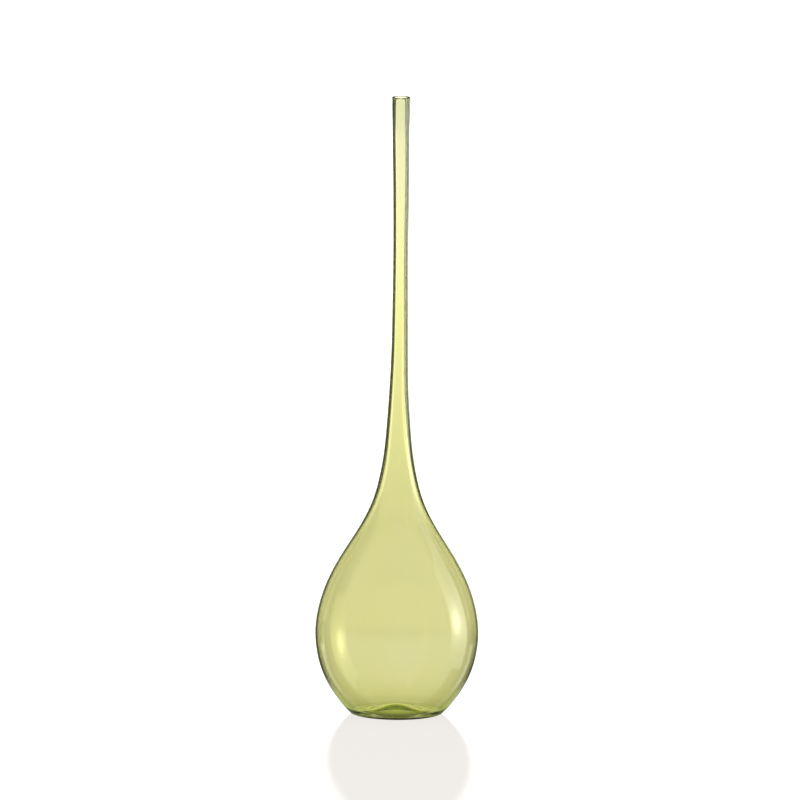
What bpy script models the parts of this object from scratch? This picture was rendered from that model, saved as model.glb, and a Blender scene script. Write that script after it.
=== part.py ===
"""Bubble glass vase: one piece of blown glass, a drop-shaped body under a long, narrow neck.

The glass is one closed turned shape. Its outer skin runs from the hollow under the base over
the contact ring, up the body and the neck to the lip. Its inner skin runs back down the bore
and over the hill in the floor. Metres, +Z up, standing on the origin.
"""

import math

import bmesh
import bpy
import numpy as np

# Overall form
HEIGHT = 0.500            # table to the top of the lip
BELLY_RADIUS = 0.0660     # outside, at the widest place
BELLY_LEVEL = 0.0660      # height of the widest place
NECK_RADIUS = 0.00605     # outside, at the narrowest place
NECK_LEVEL = 0.378        # height of the narrowest place
LIP_RADIUS = 0.00745      # outside, at the flared lip

# Thickness of the glass
BASE_WALL = 0.0019        # floor, above and around the contact ring
BODY_WALL = 0.00147       # body, where the bubble was blown widest
NECK_WALL = 0.00175       # drawn neck
LIP_WALL = 0.0026         # fire-polished lip, fully rounded

# Heights where one thickness has passed into the next
HEEL_LEVEL = 0.0012       # base wall up to here
BODY_LEVEL = 0.0055       # body wall from here
DRAWN_LEVEL = 0.150       # body wall up to here
STEM_LEVEL = 0.230        # neck wall from here
FLARE_LEVEL = 0.470       # neck wall up to here, then it gathers to the lip

# Contact ring and the hollow pushed up inside it
RING_RADIUS = 0.0275      # middle of the flat ring that the vase stands on
RING_WIDTH = 0.0040
PUNT_HEIGHT = 0.0044      # rise of the hollow's crown above the table

# Hill in the floor, above the hollow
HILL_RADIUS = 0.0310      # foot of the hill
HILL_HEIGHT = 0.0058      # rise of its crown above the floor around it
HILL_POWER = 1.38         # above 1 it narrows the hill's upper part

# Outline of the lower body: shares of the belly's height, and of the way from the ring out to the belly
LOWER_SHARES = (
    (0.004, 0.110),
    (0.016, 0.214),
    (0.040, 0.264),
    (0.080, 0.337),
    (0.145, 0.435),
    (0.240, 0.565),
    (0.390, 0.732),
    (0.580, 0.877),
    (0.780, 0.965),
)
# Outline of the upper body: shares of the way from the belly up to the narrow neck, and in to it
UPPER_SHARES = (
    (0.050, 0.975),
    (0.100, 0.908),
    (0.150, 0.803),
    (0.200, 0.661),
    (0.250, 0.497),
    (0.300, 0.344),
    (0.350, 0.229),
    (0.400, 0.157),
    (0.460, 0.100),
    (0.530, 0.063),
    (0.610, 0.034),
    (0.700, 0.016),
    (0.840, 0.005),
)
# Outline of the neck's top: shares of the way from the narrow neck up to the lip, and out to it
TOP_SHARES = (
    (0.320, 0.210),
    (0.660, 0.470),
    (0.860, 0.690),
    (0.940, 0.930),
)

OUTLINE_ROWS = 42         # rows of faces up each skin
PUNT_ROWS = 6             # rows from the crown of the hollow to the ring
HILL_ROWS = 9             # rows from the crown of the hill to its foot
LIP_STEPS = 6             # steps round the lip
SEGMENTS = 48             # faces round the vase
MERGE_DISTANCE = 1e-6     # joins the points that meet on the axis
SMOOTH_ANGLE = math.radians(40)

GLASS_COLOUR = (0.71, 0.70, 0.32, 1.0)
GLASS_ROUGHNESS = 0.02
GLASS_METALLIC = 0.0
GLASS_IOR = 1.50


def clear_scene():
    for obj in list(bpy.data.objects):
        bpy.data.objects.remove(obj, do_unlink=True)


def between(start, end, share):
    return start + (end - start) * share


def body_stations():
    """The outer skin's points, as radius and height, from the ring's outer edge to the lip."""
    ring_edge = RING_RADIUS + RING_WIDTH / 2
    lip_level = HEIGHT - LIP_WALL / 2
    stations = [(ring_edge, 0)]
    for rise, reach in LOWER_SHARES:
        stations.append((between(ring_edge, BELLY_RADIUS, reach), BELLY_LEVEL * rise))
    stations.append((BELLY_RADIUS, BELLY_LEVEL))
    for rise, reach in UPPER_SHARES:
        stations.append((between(NECK_RADIUS, BELLY_RADIUS, reach), between(BELLY_LEVEL, NECK_LEVEL, rise)))
    stations.append((NECK_RADIUS, NECK_LEVEL))
    for rise, reach in TOP_SHARES:
        stations.append((between(NECK_RADIUS, LIP_RADIUS, reach), between(NECK_LEVEL, lip_level, rise)))
    stations.append((LIP_RADIUS, lip_level))
    return stations


def smooth_curve(stations, rows):
    """Points and directions on a natural cubic spline through the stations."""
    points = np.array(stations)
    spans = np.linalg.norm(np.diff(points, axis=0), axis=1)
    slopes = np.diff(points, axis=0) / spans[:, None]
    count = len(points)
    system = np.eye(count)
    change = np.zeros_like(points)
    for i in range(1, count - 1):
        system[i, i - 1:i + 2] = spans[i - 1], 2 * (spans[i - 1] + spans[i]), spans[i]
        change[i] = 3 * (slopes[i] - slopes[i - 1])
    bends = np.linalg.solve(system, change)
    places, directions = [], []
    for place in np.linspace(0, count - 1, rows + 1):
        i = min(int(place), count - 2)
        along = (place - i) * spans[i]
        start = slopes[i] - spans[i] * (2 * bends[i] + bends[i + 1]) / 3
        cubic = (bends[i + 1] - bends[i]) / (3 * spans[i])
        places.append(points[i] + along * (start + along * (bends[i] + along * cubic)))
        direction = start + along * (2 * bends[i] + 3 * along * cubic)
        directions.append(direction / np.linalg.norm(direction))
    return places, directions


def wall_at(level):
    levels = (HEEL_LEVEL, BODY_LEVEL, DRAWN_LEVEL, STEM_LEVEL, FLARE_LEVEL, HEIGHT - LIP_WALL / 2)
    walls = (BASE_WALL, BODY_WALL, BODY_WALL, NECK_WALL, NECK_WALL, LIP_WALL)
    return float(np.interp(level, levels, walls))


def mound_rows(count, foot_radius, foot_level, height, power):
    """The crown-to-foot rows of a round mound, which starts and ends level."""
    rows = []
    for row in range(count):
        share = row / count
        rise = height * ((1 + math.cos(math.pi * share)) / 2) ** power
        rows.append((foot_radius * share, foot_level + rise))
    return rows


def lip_rows():
    """The rows of the rounded lip, from the outer skin over the top to the inner one."""
    middle = LIP_RADIUS - LIP_WALL / 2
    level = HEIGHT - LIP_WALL / 2
    rows = []
    for step in range(1, LIP_STEPS + 1):
        angle = math.pi * step / LIP_STEPS
        rows.append((middle + LIP_WALL / 2 * math.cos(angle), level + LIP_WALL / 2 * math.sin(angle)))
    return rows


def glass_outline():
    """The whole closed section, from the hollow's crown round to the floor above it."""
    skin, directions = smooth_curve(body_stations(), OUTLINE_ROWS)
    bore = []
    for (radius, level), (outward, upward) in zip(skin, directions):
        wall = wall_at(level)
        bore.append((radius - wall * upward, level + wall * outward))
    bore = [(radius, level) for radius, level in bore if radius > HILL_RADIUS or level > BELLY_LEVEL]
    ring_inner = RING_RADIUS - RING_WIDTH / 2
    outline = mound_rows(PUNT_ROWS, ring_inner, 0, PUNT_HEIGHT, 1)
    outline.append((ring_inner, 0))
    outline += [(radius, max(level, 0)) for radius, level in skin]
    outline += lip_rows()
    outline += bore[-2::-1]
    outline.append((HILL_RADIUS, BASE_WALL))
    outline += reversed(mound_rows(HILL_ROWS, HILL_RADIUS, BASE_WALL, HILL_HEIGHT, HILL_POWER))
    return outline


def turn(name, outline, material):
    """Turns an outline of radius and height about the vertical axis into one closed shape."""
    mesh = bpy.data.meshes.new(name)
    shape = bmesh.new()
    points = [shape.verts.new((radius, 0, level)) for radius, level in outline]
    edges = [shape.edges.new(pair) for pair in zip(points, points[1:])]
    bmesh.ops.spin(
        shape,
        geom=points + edges,
        axis=(0, 0, 1),
        cent=(0, 0, 0),
        steps=SEGMENTS,
        angle=math.tau,
        use_merge=True,
    )
    bmesh.ops.remove_doubles(shape, verts=shape.verts, dist=MERGE_DISTANCE)
    bmesh.ops.recalc_face_normals(shape, faces=shape.faces)
    shape.to_mesh(mesh)
    shape.free()
    mesh.materials.append(material)
    mesh.shade_smooth()
    mesh.set_sharp_from_angle(angle=SMOOTH_ANGLE)
    piece = bpy.data.objects.new(name, mesh)
    bpy.context.collection.objects.link(piece)
    return piece


def glass_material():
    material = bpy.data.materials.new("yellow_green_glass")
    material.use_nodes = True
    shader = material.node_tree.nodes["Principled BSDF"]
    shader.inputs["Base Color"].default_value = GLASS_COLOUR
    shader.inputs["Roughness"].default_value = GLASS_ROUGHNESS
    shader.inputs["Metallic"].default_value = GLASS_METALLIC
    shader.inputs["IOR"].default_value = GLASS_IOR
    shader.inputs["Transmission Weight"].default_value = 1
    return material


clear_scene()
turn("glass_vessel", glass_outline(), glass_material())
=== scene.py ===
import math

import bmesh
import bpy
import numpy as np
from mathutils import Matrix, Vector


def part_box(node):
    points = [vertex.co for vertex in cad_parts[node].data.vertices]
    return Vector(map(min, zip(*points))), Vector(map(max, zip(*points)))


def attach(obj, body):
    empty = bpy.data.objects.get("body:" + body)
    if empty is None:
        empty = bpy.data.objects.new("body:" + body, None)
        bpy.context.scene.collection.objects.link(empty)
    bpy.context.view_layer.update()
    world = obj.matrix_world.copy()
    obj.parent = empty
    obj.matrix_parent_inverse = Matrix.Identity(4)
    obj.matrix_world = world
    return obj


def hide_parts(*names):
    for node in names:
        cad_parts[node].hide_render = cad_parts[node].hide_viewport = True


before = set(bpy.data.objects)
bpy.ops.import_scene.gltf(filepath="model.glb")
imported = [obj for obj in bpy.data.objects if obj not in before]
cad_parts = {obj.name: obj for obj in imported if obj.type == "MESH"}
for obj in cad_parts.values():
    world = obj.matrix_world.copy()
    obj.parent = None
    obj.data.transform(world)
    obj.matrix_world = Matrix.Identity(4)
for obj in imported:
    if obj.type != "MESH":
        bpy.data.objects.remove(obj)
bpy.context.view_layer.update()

print("frame loaded")


class Signal:  # a socket that can be used in sums
    def __init__(self, tree, socket):
        self.tree = tree
        self.socket = socket

    def combine(self, operation, first, second):
        node = self.tree.nodes.new("ShaderNodeMath")
        node.operation = operation
        for place, value in enumerate((first, second)):
            if isinstance(value, Signal):
                self.tree.links.new(value.socket, node.inputs[place])
            else:
                node.inputs[place].default_value = value
        return Signal(self.tree, node.outputs[0])

    def __add__(self, other):
        return self.combine("ADD", self, other)

    def __radd__(self, other):
        return self.combine("ADD", other, self)

    def __sub__(self, other):
        return self.combine("SUBTRACT", self, other)

    def __rsub__(self, other):
        return self.combine("SUBTRACT", other, self)

    def __mul__(self, other):
        return self.combine("MULTIPLY", self, other)

    def __rmul__(self, other):
        return self.combine("MULTIPLY", other, self)


class Finish:  # one material and its nodes
    def __init__(self, name):
        self.material = bpy.data.materials.new(name)
        self.material.use_nodes = True
        self.tree = self.material.node_tree
        self.shader = self.tree.nodes["Principled BSDF"]
        self.output = self.tree.nodes["Material Output"]

    def node(self, kind, settings=None, values=None):
        made = self.tree.nodes.new(kind)
        for name, value in (settings or {}).items():
            if name == "stops":
                self.setStops(made.color_ramp, value)
            else:
                setattr(made, name, value)
        self.feed(made, values or {})
        return made

    def setStops(self, ramp, stops):
        while len(ramp.elements) < len(stops):
            ramp.elements.new(0.5)
        for element, (place, colour) in zip(ramp.elements, stops):
            element.position = place
            element.color = colour

    def feed(self, target, values):
        for name, value in values.items():
            if isinstance(value, Signal):
                self.tree.links.new(value.socket, target.inputs[name])
            elif isinstance(value, bpy.types.NodeSocket):
                self.tree.links.new(value, target.inputs[name])
            else:
                target.inputs[name].default_value = value

    def signal(self, node, output):
        return Signal(self.tree, node.outputs[output])

    def combine(self, operation, first, second=0.0):
        maker = first if isinstance(first, Signal) else second
        return maker.combine(operation, first, second)

    def power(self, base, exponent):
        return self.combine("POWER", base, exponent)

    def objectPlace(self):  # the object's own coordinates
        return self.node("ShaderNodeTexCoord").outputs["Object"]

    def split(self, place):
        parts = self.node("ShaderNodeSeparateXYZ", values={"Vector": place})
        return [self.signal(parts, axis) for axis in "XYZ"]

    def noise(self, place, scale, detail):
        mapping = self.node("ShaderNodeMapping", values={"Vector": place, "Scale": scale})
        made = self.node("ShaderNodeTexNoise", values={
            "Vector": mapping.outputs["Vector"],
            "Scale": 1.0,
            "Detail": detail,
        })
        return self.signal(made, "Fac")

    def ramp(self, value, places, colours):
        stops = list(zip(places, colours))
        return self.node("ShaderNodeValToRGB", {"stops": stops}, {"Fac": value}).outputs["Color"]

    def mixColours(self, share, first, second, blend="MIX"):
        made = self.node("ShaderNodeMix", {"data_type": "RGBA", "blend_type": blend}, {
            0: share,     # the sockets that a colour mix uses, by number
            6: first,
            7: second,
        })
        return made.outputs[2]

    def range(self, value, fromLow, fromHigh, toLow, toHigh):
        made = self.node("ShaderNodeMapRange", {"interpolation_type": "SMOOTHSTEP"}, {
            "Value": value,
            "From Min": fromLow,
            "From Max": fromHigh,
            "To Min": toLow,
            "To Max": toHigh,
        })
        return self.signal(made, "Result")

    def fade(self, value, middle, reach, start, end):
        return self.range(value, middle - reach, middle + reach, start, end)


def addObject(name, data):
    made = bpy.data.objects.new(name, data)
    bpy.context.scene.collection.objects.link(made)
    return made


def addMesh(name, shape, material):
    mesh = bpy.data.meshes.new(name)
    shape.to_mesh(mesh)
    shape.free()
    mesh.materials.append(material)
    return addObject(name, mesh)


# Vase, in metres
cadLow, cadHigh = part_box("glass_vessel")
vessel = {
    "height": cadHigh.z,
    "bellyRadius": 0.0660,      # outside, at the widest place
    "bellyLevel": 0.066,
    "neckRadius": 0.0062,       # outside, at the narrowest place
    "neckLevel": 0.378,
    "lipRadius": 0.00755,
    "lipWall": 0.0025,
    "baseWall": 0.0019,
    "bodyWall": 0.00147,
    "neckWall": 0.0018,
    "heelLevel": 0.0012,        # base wall up to here
    "bodyLevel": 0.0055,        # body wall from here
    "drawnLevel": 0.150,        # body wall up to here
    "stemLevel": 0.230,         # neck wall from here
    "flareLevel": 0.470,        # neck wall up to here
    "ringRadius": 0.0275,       # middle of the flat ring that the vase stands on
    "ringWidth": 0.0040,
    "puntHeight": 0.0044,       # rise of the hollow inside the ring
    "puntPower": 1.0,
    "hillRadius": 0.0310,       # foot of the hill in the floor, above the hollow
    "hillHeight": 0.0058,
    "hillPower": 1.38,          # above 1 it narrows the hill's upper part
    "neckBow": 0.0006,          # how far the drawn neck bows to one side
    "bowLevels": (0.250, 0.310, 0.420, 0.480),
    "boreOffset": 0.0002,       # how far the bore sits off the neck's axis
    "boreLevels": (0.180, 0.240),
    "boreEdge": 0.9,            # share of the wall at which a point counts as the bore's
    "lipTilt": 0.08,            # fall of the lip towards the front, per unit of length
    "lipTiltLevels": (0.480, 0.497),
    "outlineRows": 150,
    "hillRows": 24,
    "lipSteps": 16,
    "segments": 128,
    "mergeDistance": 1e-6,
}
# Height and reach of the outline's points, as shares of the stretch that they lie on
lowerShares = (
    (0.004, 0.110), (0.016, 0.214), (0.040, 0.264), (0.080, 0.337), (0.145, 0.435),
    (0.240, 0.565), (0.390, 0.732), (0.580, 0.877), (0.780, 0.965),
)
upperShares = (
    (0.050, 0.975), (0.100, 0.908), (0.150, 0.803), (0.200, 0.661), (0.250, 0.497),
    (0.300, 0.344), (0.350, 0.229), (0.400, 0.157), (0.460, 0.100), (0.530, 0.063),
    (0.610, 0.034), (0.700, 0.016), (0.840, 0.005),
)
topShares = ((0.320, 0.210), (0.660, 0.470), (0.860, 0.690), (0.940, 0.930))


def between(start, end, share):
    return start + (end - start) * share


def bodyStations(v):
    edge = v["ringRadius"] + v["ringWidth"] / 2
    lipLevel = v["height"] - v["lipWall"] / 2
    stations = [(edge, 0)]
    for rise, reach in lowerShares:
        stations.append((between(edge, v["bellyRadius"], reach), v["bellyLevel"] * rise))
    stations.append((v["bellyRadius"], v["bellyLevel"]))
    for rise, reach in upperShares:
        radius = between(v["neckRadius"], v["bellyRadius"], reach)
        stations.append((radius, between(v["bellyLevel"], v["neckLevel"], rise)))
    stations.append((v["neckRadius"], v["neckLevel"]))
    for rise, reach in topShares:
        radius = between(v["neckRadius"], v["lipRadius"], reach)
        stations.append((radius, between(v["neckLevel"], lipLevel, rise)))
    stations.append((v["lipRadius"], lipLevel))
    return stations


def smoothLine(stations, rows):  # natural cubic spline, with its directions
    points = np.array(stations)
    spans = np.linalg.norm(np.diff(points, axis=0), axis=1)
    slopes = np.diff(points, axis=0) / spans[:, None]
    count = len(points)
    system = np.eye(count)
    change = np.zeros_like(points)
    for i in range(1, count - 1):
        system[i, i - 1:i + 2] = spans[i - 1], 2 * (spans[i - 1] + spans[i]), spans[i]
        change[i] = 3 * (slopes[i] - slopes[i - 1])
    bends = np.linalg.solve(system, change)
    places, directions = [], []
    for place in np.linspace(0, count - 1, rows + 1):
        i = min(int(place), count - 2)
        along = (place - i) * spans[i]
        start = slopes[i] - spans[i] * (2 * bends[i] + bends[i + 1]) / 3
        cubic = (bends[i + 1] - bends[i]) / (3 * spans[i])
        places.append(points[i] + along * (start + along * (bends[i] + along * cubic)))
        direction = start + along * (2 * bends[i] + 3 * along * cubic)
        directions.append(direction / np.linalg.norm(direction))
    return places, directions


def wallAt(v, level):
    lipLevel = v["height"] - v["lipWall"] / 2
    levels = [v[key] for key in ("heelLevel", "bodyLevel", "drawnLevel", "stemLevel", "flareLevel")]
    levels.append(lipLevel)
    walls = [v[key] for key in ("baseWall", "bodyWall", "bodyWall", "neckWall", "neckWall", "lipWall")]
    return float(np.interp(level, levels, walls))


def hillRows(v, footLevel, footRadius, height, power):  # from the crown outward
    rows = []
    for row in range(v["hillRows"]):
        share = row / v["hillRows"]
        rise = height * ((1 + math.cos(math.pi * share)) / 2) ** power
        rows.append((footRadius * share, footLevel + rise))
    return rows


def lipRows(v):
    half = v["lipWall"] / 2
    middle = v["lipRadius"] - half
    level = v["height"] - half
    rows = []
    for step in range(1, v["lipSteps"] + 1):
        angle = math.pi * step / v["lipSteps"]
        rows.append((middle + half * math.cos(angle), level + half * math.sin(angle)))
    return rows


def glassOutline(v):  # the whole closed section, from the hollow's crown round to the floor above it
    skin, directions = smoothLine(bodyStations(v), v["outlineRows"])
    bore = []
    for (radius, level), (outward, upward) in zip(skin, directions):
        wall = wallAt(v, level)
        bore.append((radius - wall * upward, level + wall * outward))
    ringInner = v["ringRadius"] - v["ringWidth"] / 2
    bore = [point for point in bore if point[0] > v["hillRadius"] or point[1] > v["bellyLevel"]]
    outline = hillRows(v, 0, ringInner, v["puntHeight"], v["puntPower"])
    outline.append((ringInner, 0))
    outline += [(radius, max(level, 0)) for radius, level in skin]
    outline += lipRows(v)
    outline += bore[-2::-1]
    outline.append((v["hillRadius"], v["baseWall"]))
    hill = hillRows(v, v["baseWall"], v["hillRadius"], v["hillHeight"], v["hillPower"])
    outline += reversed(hill)
    return outline


def smoothShare(value, low, high):
    share = min(max((value - low) / (high - low), 0), 1)
    return share * share * (3 - 2 * share)


def outerSkin(v):  # levels of the outer skin, and its radius at each
    skin = smoothLine(bodyStations(v), v["outlineRows"])[0]
    return [level for radius, level in skin], [radius for radius, level in skin]


def bendNeck(shape, v):
    levels, radii = outerSkin(v)
    start, rise, fall, end = v["bowLevels"]
    for vertex in shape.verts:
        level = vertex.co.z
        bow = v["neckBow"] * smoothShare(level, start, rise) * (1 - smoothShare(level, fall, end))
        depth = np.interp(level, levels, radii) - vertex.co.xy.length
        inside = smoothShare(depth, 0, wallAt(v, level) * v["boreEdge"])
        tilt = v["lipTilt"] * (v["lipRadius"] - vertex.co.y)
        vertex.co.x += bow - inside * v["boreOffset"] * smoothShare(level, *v["boreLevels"])
        vertex.co.z -= tilt * smoothShare(level, *v["lipTiltLevels"])


def turnVessel(name, v, material):
    shape = bmesh.new()
    points = [shape.verts.new((radius, 0, level)) for radius, level in glassOutline(v)]
    edges = [shape.edges.new(pair) for pair in zip(points, points[1:])]
    bmesh.ops.spin(shape, geom=points + edges, axis=(0, 0, 1), cent=(0, 0, 0),
                   steps=v["segments"], angle=math.tau, use_merge=True)
    bmesh.ops.remove_doubles(shape, verts=shape.verts, dist=v["mergeDistance"])
    bendNeck(shape, v)
    bmesh.ops.recalc_face_normals(shape, faces=shape.faces)
    piece = addMesh(name, shape, material)
    piece.data.shade_smooth()
    return piece


glass = {
    "ior": 1.50,
    "depthColour": (0.66, 0.88, 0.05, 1.0),       # deepens with the thickness that light passes
    "depthDensity": 70.0,
    "baseTint": (1.0, 0.965, 0.615, 1.0),
    "bodyTint": (1.0, 0.96, 0.70, 1.0),
    "lipTint": (0.985, 0.955, 0.84, 1.0),
    "tintRises": (0.0, 0.02, 0.07, 0.65, 1.0),    # shares of the height where the tint changes
    "streakScale": (28.0, 28.0, 5.0),             # tint streaks, drawn out along the neck
    "streakDetail": 2.0,
    "streakPlaces": (0.35, 0.65),
    "streakTints": ((0.985, 0.990, 0.940, 1.0), (1.0, 1.0, 1.0, 1.0)),
    "hazeScale": (45.0, 45.0, 45.0),              # faint haze of a handled surface
    "hazeDetail": 2.0,
    "hazePlaces": (0.4, 0.7),
    "hazeRoughness": (0.0, 0.012),
    "rippleScale": (22.0, 22.0, 9.0),             # slow ripples left by blowing
    "rippleDetail": 0.0,
    "rippleStrength": 0.08,
    "rippleDistance": 0.001,
    "rippleRises": (0.28, 0.42),                  # the ripples die out towards the drawn neck
}


def glassFinish(g):
    finish = Finish("yellowGreenGlass")
    place = finish.objectPlace()
    rise = finish.split(place)[2] * (1 / vessel["height"])
    tints = (g["baseTint"], g["baseTint"], g["bodyTint"], g["bodyTint"], g["lipTint"])
    tint = finish.ramp(rise, g["tintRises"], tints)
    streaks = finish.noise(place, g["streakScale"], g["streakDetail"])
    streakTint = finish.ramp(streaks, g["streakPlaces"], g["streakTints"])
    haze = finish.noise(place, g["hazeScale"], g["hazeDetail"])
    ripples = finish.noise(place, g["rippleScale"], g["rippleDetail"])
    surface = finish.node("ShaderNodeBump", values={
        "Strength": g["rippleStrength"],
        "Distance": g["rippleDistance"],
        "Height": ripples * finish.range(rise, *g["rippleRises"], 1, 0),
    })
    finish.feed(finish.shader, {
        "Base Color": finish.mixColours(1.0, tint, streakTint, "MULTIPLY"),
        "Roughness": finish.range(haze, *g["hazePlaces"], *g["hazeRoughness"]),
        "Normal": surface.outputs["Normal"],
        "IOR": g["ior"],
        "Transmission Weight": 1.0,
    })
    depth = finish.node("ShaderNodeVolumeAbsorption", values={
        "Color": g["depthColour"],
        "Density": g["depthDensity"],
    })
    finish.feed(finish.output, {"Volume": depth.outputs["Volume"]})
    return finish.material


vase = turnVessel("glassVessel", vessel, glassFinish(glass))
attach(vase, "root")
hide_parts("glass_vessel")
print("vase turned,", len(vase.data.polygons), "faces")


# Floor, surroundings and lights
white = (1.0, 1.0, 1.0, 1.0)
black = (0.0, 0.0, 0.0, 1.0)


def stageSheet(name, place, facing, size, material):  # its own coordinates run from -0.5 to 0.5
    shape = bmesh.new()
    bmesh.ops.create_grid(shape, x_segments=1, y_segments=1, size=0.5)
    sheet = addMesh(name, shape, material)
    sheet.location = place
    sheet.rotation_mode = "QUATERNION"
    sheet.rotation_quaternion = Vector(facing).to_track_quat("Z", "Y")
    sheet.scale = (*size, 1)
    return sheet


def glowFinish(name, strength=1.0, diffuse=black, glow=white):
    finish = Finish(name)
    finish.feed(finish.shader, {
        "Base Color": diffuse,
        "Roughness": 1.0,
        "Specular IOR Level": 0.0,
        "Emission Color": glow,
        "Emission Strength": strength,
    })
    return finish


floorLook = {
    "reach": 12.0,
    "drop": 0.0005,                       # gap under the vase, so that no two faces share a plane
    "glow": 0.83,                         # the open floor comes out white and the shade pale
    "tint": (1.0, 0.972, 0.925, 1.0),
    "colour": (0.05, 0.05, 0.05, 1.0),
}
floorFinish = glowFinish("paleFloor", floorLook["glow"], floorLook["colour"], floorLook["tint"])
floor = stageSheet("floor", (0, 0, -floorLook["drop"]), (0, 0, 1),
                   (floorLook["reach"], floorLook["reach"]), floorFinish.material)
floor.visible_glossy = False
floor.visible_transmission = False


cardLook = {    # the white card behind the vase, seen only through the glass and in it
    "distance": 3.0,
    "reach": 6.0,
    "glow": 1.17,
    "topGlow": 1.02,
    "glowLevels": (0.02, 0.22),           # between these the glow passes into the top one
    "left": -0.70,
    "right": 0.88,
    "top": 0.60,
    "foot": -0.55,
    "fade": 0.23,
    "footFade": 0.30,
}


def cardWhite(c):
    finish = glowFinish("cardWhite")
    across, along, away = finish.split(finish.objectPlace())
    across = across * c["reach"]
    along = along * c["reach"]
    left = finish.fade(across, c["left"], c["fade"], 0, 1)
    right = finish.fade(across, c["right"], c["fade"], 1, 0)
    top = finish.fade(along, c["top"], c["fade"], 1, 0)
    foot = finish.fade(along, c["foot"], c["footFade"], 0, 1)
    finish.feed(finish.shader, {
        "Emission Strength": finish.range(along, *c["glowLevels"], c["glow"], c["topGlow"]),
        "Alpha": left * right * top * foot,
    })
    return finish.material


card = stageSheet("card", (0, cardLook["distance"], 0), (0, -1, 0),
                  (cardLook["reach"], cardLook["reach"]), cardWhite(cardLook))


softboxLook = {
    "azimuth": 99.0,                      # degrees round from the front
    "distance": 1.6,
    "level": 0.28,
    "size": (0.97, 2.1),
    "plateau": 0.65,
    "halo": {"glow": 1.3, "shift": 0.0, "level": -0.05, "width": 0.9, "height": 0.26},
    "core": {"glow": 4.0, "shift": 0.15, "level": -0.03, "width": 0.22, "height": 0.11},
}


def bell(finish, across, along, spot):  # a glow that falls off round one spot
    x = (across - spot["shift"]) * (1 / spot["width"])
    y = (along - spot["level"]) * (1 / spot["height"])
    return finish.power(math.e, (x * x + y * y) * -1) * spot["glow"]


def softboxCloth(s):
    finish = glowFinish("softboxCloth")
    across, along, away = finish.split(finish.objectPlace())
    halo = bell(finish, across, along, s["halo"])
    core = bell(finish, across, along, s["core"])
    finish.feed(finish.shader, {"Emission Strength": halo + core + s["plateau"]})
    return finish.material


turn = math.radians(softboxLook["azimuth"])
outward = Vector((math.sin(turn), -math.cos(turn), 0))
softboxPlace = outward * softboxLook["distance"] + Vector((0, 0, softboxLook["level"]))
softbox = stageSheet("softbox", softboxPlace, -outward, softboxLook["size"], softboxCloth(softboxLook))


tableLook = {    # the table as the glass shows it: a glowing sheet with painted light and shade, a painted shadow of the vase near it, brighter far behind the vase
    "reach": 6.2,
    "glow": 0.83,
    "start": -0.047,
    "fade": 0.039,
    "width": 0.09,
    "sideFade": 0.05,
    "spread": 0.055,                      # growth of half the width with the distance behind
    # painted shadow of the vase on the table, falling off away from it
    "nearShade": 0.46,
    "shadeReach": 0.07,
    "paintedGlassLight": (0.86, 1.0, 0.50, 1.0),   # painted light that came through the glass onto the table
    "paintedLightReach": (0.0, 0.045),
    "farReach": (0.9, 3.0),
    "farGain": 0.35,
}


def tablePaintedLight(t):
    finish = glowFinish("tablePaintedLight")
    across, along, above = finish.split(finish.objectPlace())
    away = along * -t["reach"]
    sideways = finish.combine("ABSOLUTE", across) * t["reach"] - away * t["spread"]
    # painted shade near the vase and painted brightening far behind it
    near = finish.power(math.e, away * (-1 / t["shadeReach"]))
    far = finish.range(away, *t["farReach"], 0, t["farGain"])
    # painted green light from the glass on the table under the vase
    under = finish.range(away, *t["paintedLightReach"], 1, 0)
    behind = finish.range(away, t["start"], t["start"] + t["fade"], 0, 1)
    beside = finish.range(sideways, t["width"] / 2, t["width"] / 2 + t["sideFade"], 1, 0)
    finish.feed(finish.shader, {
        "Emission Color": finish.mixColours(under, white, t["paintedGlassLight"]),
        "Emission Strength": (1 - near * t["nearShade"]) * t["glow"] + far,
        "Alpha": behind * beside,
    })
    return finish.material


table = stageSheet("tableGlow", (0, 0, -2 * floorLook["drop"]), (0, 0, 1),
                   (tableLook["reach"], tableLook["reach"]), tablePaintedLight(tableLook))


roomLook = {    # slopes are degrees above level, bearings degrees off the view's direction
    "reach": 14.0,
    "subdivisions": 3,
    "glow": 0.05,
    "frontGlow": 0.15,
    "frontBearings": (80.0, 89.0),
    "bandGlow": 0.45,
    "bandFoot": (-80.0, -40.0),
    "bandTop": (-8.0, 6.0),
    "quarterGlow": 0.65,
    "quarterStart": (38.0, 43.0),
    "quarterEnd": (48.0, 54.0),
    "quarterTop": (-13.0, -10.5),
}


def roomWhite(r):  # dark beside the view, bright in front of the vase and low at both quarters
    finish = glowFinish("roomWhite")
    x, y, z = finish.split(finish.objectPlace())
    aside = finish.combine("ABSOLUTE", x)
    bearing = finish.combine("ARCTAN2", aside, y) * math.degrees(1)
    slope = finish.combine("ARCSINE", z * (1 / r["reach"])) * math.degrees(1)
    band = finish.range(slope, *r["bandFoot"], 0, 1) * finish.range(slope, *r["bandTop"], 1, 0)
    front = finish.range(bearing, *r["frontBearings"], 0, 1)
    front = front * (band * r["bandGlow"] + r["frontGlow"])
    quarter = finish.range(bearing, *r["quarterStart"], 0, r["quarterGlow"])
    quarter = quarter * finish.range(bearing, *r["quarterEnd"], 1, 0)
    quarter = quarter * finish.range(slope, *r["quarterTop"], 1, 0)
    finish.feed(finish.shader, {"Emission Strength": front + quarter + r["glow"]})
    return finish.material


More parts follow.
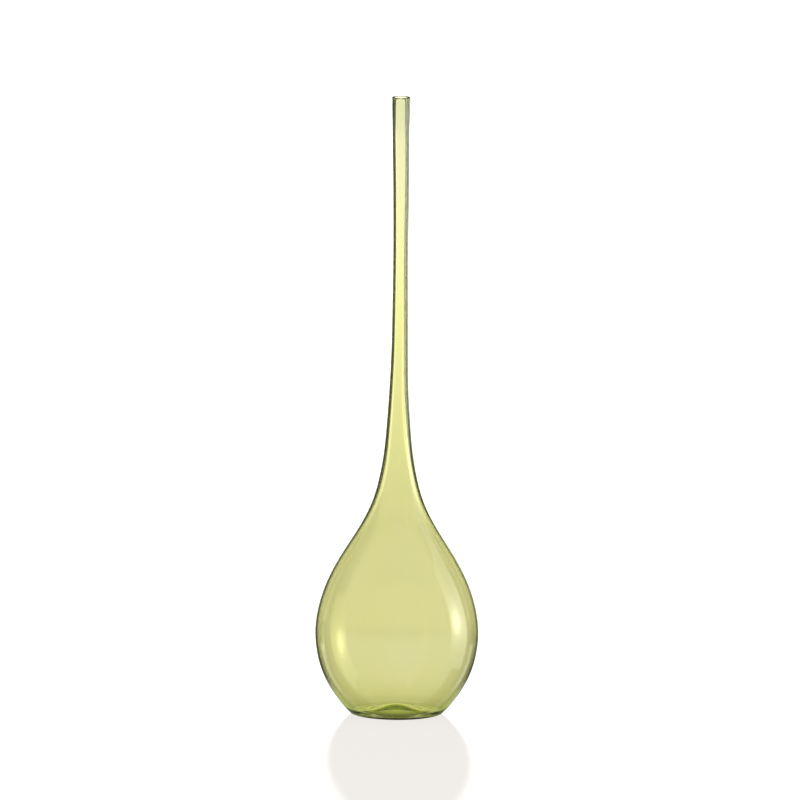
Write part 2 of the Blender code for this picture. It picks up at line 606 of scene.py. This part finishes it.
shell = bmesh.new()
bmesh.ops.create_icosphere(shell, subdivisions=roomLook["subdivisions"], radius=roomLook["reach"])
room = addMesh("room", shell, roomWhite(roomLook))
for piece in (card, room, softbox, table):
    piece.visible_camera = False
    piece.visible_diffuse = False
    piece.visible_shadow = False


rearSun = {
    "strength": 285.0,
    "spread": 6.5,                        # degrees, softens the shade's edge
    "elevation": 13.8,
    "turn": 0.62,
}
sun = bpy.data.lights.new("rearLight", "SUN")
sun.energy = rearSun["strength"]
sun.angle = math.radians(rearSun["spread"])
rearLight = addObject("rearLight", sun)
rearTurn = math.radians(rearSun["turn"])
rearFall = math.tan(math.radians(rearSun["elevation"]))
rearAim = Vector((math.sin(rearTurn), -math.cos(rearTurn), -rearFall))
rearLight.rotation_mode = "QUATERNION"
rearLight.rotation_quaternion = rearAim.to_track_quat("-Z", "Y")
rearLight.visible_glossy = False
rearLight.visible_transmission = False

world = bpy.data.worlds.new("studioAir")
world.use_nodes = True
background = world.node_tree.nodes["Background"]
background.inputs["Color"].default_value = white
background.inputs["Strength"].default_value = 1.0
bpy.context.scene.world = world
print("studio set")


# Camera
view = {
    "distance": 8.0,
    "elevation": 8.0,
    "roll": 0.462,
    "aim": (0.0010, 0.0, 0.2548),
    "lens": 448.6,
    "sensor": 36.0,
    "farthest": 60.0,
    "glossyBounces": 12,
    "transmissionBounces": 16,
    "allBounces": 24,
}
lens = bpy.data.cameras.new("photoCamera")
lens.lens = view["lens"]
lens.sensor_width = view["sensor"]
lens.clip_end = view["farthest"]
camera = addObject("photoCamera", lens)
lift = math.radians(view["elevation"])
back = Vector((0, -math.cos(lift), math.sin(lift)))
roll = Matrix.Rotation(math.radians(view["roll"]), 4, "Z").to_quaternion()
camera.location = Vector(view["aim"]) + back * view["distance"]
camera.rotation_mode = "QUATERNION"
camera.rotation_quaternion = (-back).to_track_quat("-Z", "Y") @ roll

scene = bpy.context.scene
scene.camera = camera
scene.view_settings.view_transform = "Standard"
scene.cycles.glossy_bounces = view["glossyBounces"]
scene.cycles.transmission_bounces = view["transmissionBounces"]
scene.cycles.max_bounces = view["allBounces"]
print("camera set")
